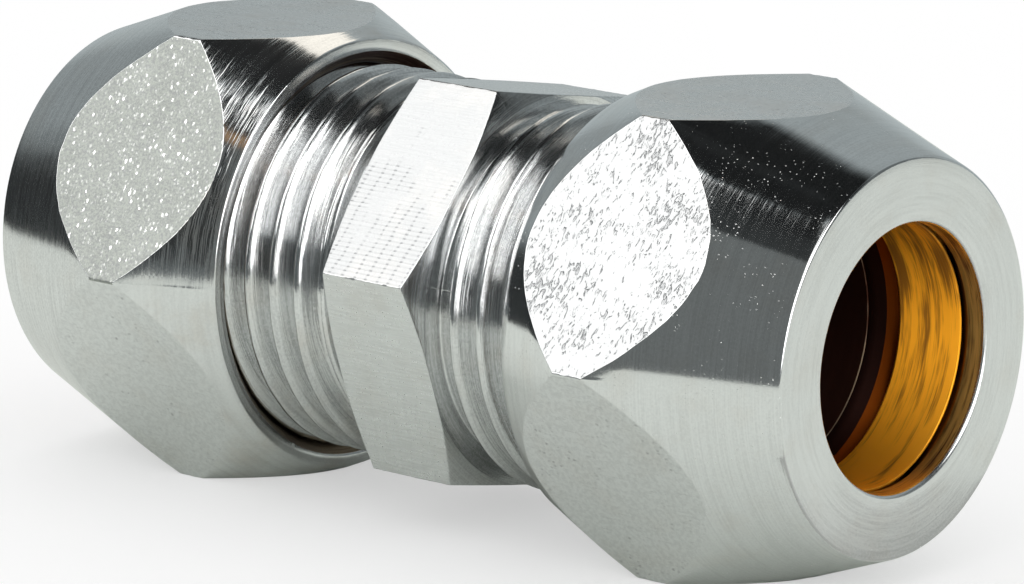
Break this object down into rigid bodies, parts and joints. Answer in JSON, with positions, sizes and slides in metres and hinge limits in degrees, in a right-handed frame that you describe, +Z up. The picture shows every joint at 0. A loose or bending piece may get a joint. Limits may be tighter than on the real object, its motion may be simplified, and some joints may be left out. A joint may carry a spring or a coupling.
{
  "type": "compression fitting",
  "caption": "Straight compression coupling: a hexagonal threaded body with a hexagonal union nut and a soft metal olive at each end, for joining two tubes.",
  "frame": {"origin": "centre of the whole fitting's box, on the tube axis, half way between the outer faces of the two nuts", "axes": "+X along the tube axis towards the front nut, +Z up with both nuts resting on a hexagon flat, +Y across the nuts' corners"},
  "size_m": [0.0462, 0.0242, 0.021],
  "materials": {
    "body_chrome": "turned and milled brass, chrome plated, fine machining lines showing",
    "nut_chrome": "chrome plated brass, bright turned cones, satin and dimpled flats",
    "olive_brass": "plain turned brass, finely brushed round its bore"
  },
  "bodies": {
    "body": {"coupling_body": "body_chrome"},
    "front_ring": {"front_olive": "olive_brass"},
    "front_cap": {"front_nut": "nut_chrome"},
    "rear_ring": {"rear_olive": "olive_brass"},
    "rear_cap": {"rear_nut": "nut_chrome"}
  },
  "joints": [
    {"name": "front_ring_slide", "type": "slide", "parent": "body", "child": "front_ring", "axis": [1, 0, 0], "range_m": [-0.0005, 0.0105]},
    {"name": "front_nut_turn", "type": "hinge", "parent": "front_ring", "child": "front_cap", "pos_m": [0.0158, 0, 0], "axis": [1, 0, 0], "range_deg": [-120, 2520]},
    {"name": "rear_ring_slide", "type": "slide", "parent": "body", "child": "rear_ring", "axis": [-1, 0, 0], "range_m": [-0.0013, 0.0097]},
    {"name": "rear_nut_turn", "type": "hinge", "parent": "rear_ring", "child": "rear_cap", "pos_m": [-0.0158, 0, 0], "axis": [-1, 0, 0], "range_deg": [-312, 2328]}
  ],
  "couplings": [
    {"joint": "front_ring_slide", "follows": "front_nut_turn", "m_per_rad": 0.00023873},
    {"joint": "rear_ring_slide", "follows": "rear_nut_turn", "m_per_rad": 0.00023873}
  ]
}
